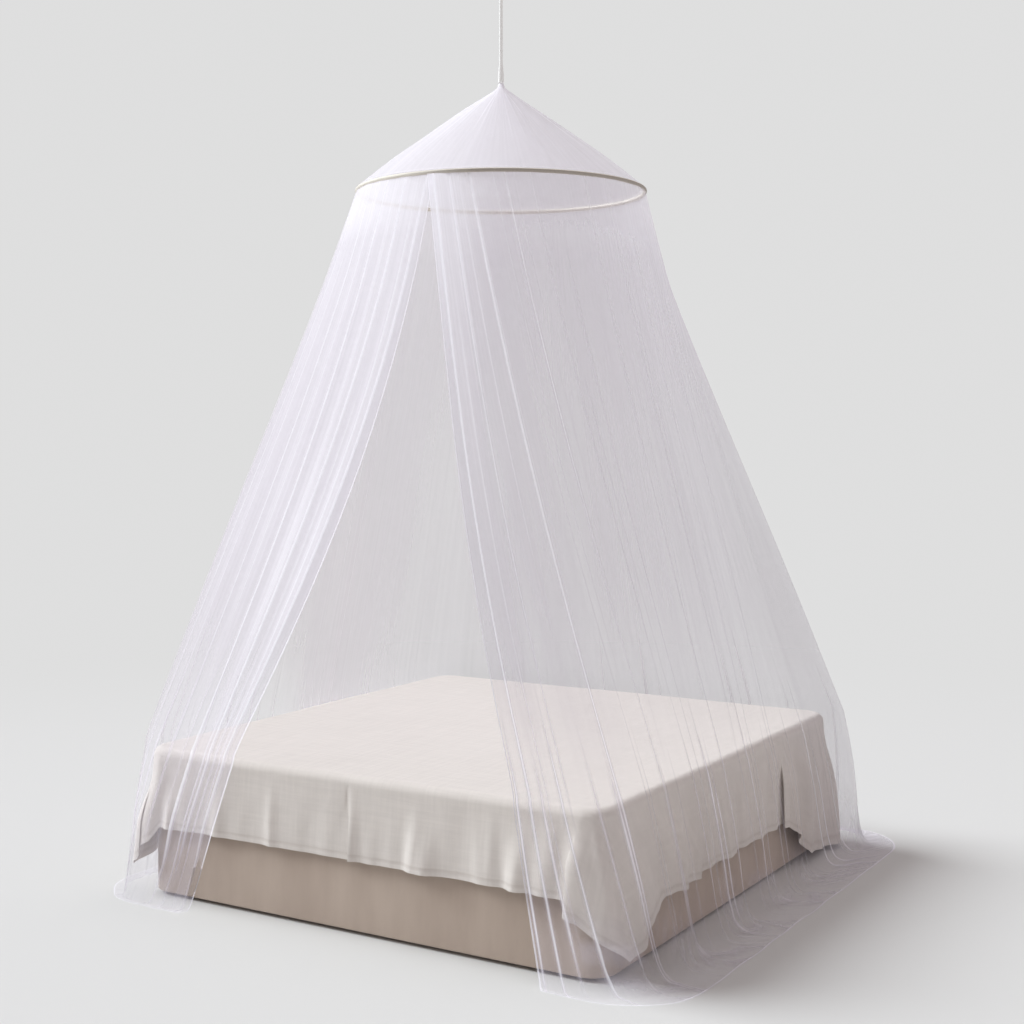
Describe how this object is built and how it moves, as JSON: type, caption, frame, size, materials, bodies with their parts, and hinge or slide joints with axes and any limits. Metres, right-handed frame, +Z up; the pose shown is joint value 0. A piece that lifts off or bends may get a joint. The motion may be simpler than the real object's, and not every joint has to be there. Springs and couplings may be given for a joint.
{
  "type": "mosquito net canopy and bed",
  "caption": "Sheer mosquito net canopy: a gathered crown and open-fronted skirt on a round hoop, hung by a cord from a ceiling hook, falling over the corners of a plain upholstered bed.",
  "frame": {"origin": "on the floor, under the middle of the bed", "axes": "+Z up, the object's longest extent; +X along the foot of the bed, left to right as seen from the foot; +Y from the foot of the bed to its head"},
  "size_m": [2.451, 2.4223, 3.5225],
  "materials": {
    "net": "sheer white knitted net",
    "hoop_cream": "cream wrapped hoop",
    "cord_white": "white twisted cotton cord",
    "linen": "slubbed off-white linen",
    "taupe_upholstery": "brushed taupe upholstery cloth",
    "mattress_ticking": "plain ticking",
    "dark_plinth": "matt black recessed plinth",
    "white_steel": "white painted steel"
  },
  "bodies": {
    "root": {"bed_plinth": "dark_plinth", "bed_base": "taupe_upholstery", "mattress": "mattress_ticking", "bedspread": "linen", "skirt_net": "net", "crown_net": "net", "hoop": "hoop_cream", "top_binding": "cord_white", "cord": "cord_white", "cord_knot": "cord_white", "hanging_loop": "cord_white", "ceiling_hook": "white_steel", "ceiling_plate": "white_steel"}
  },
  "joints": []
}
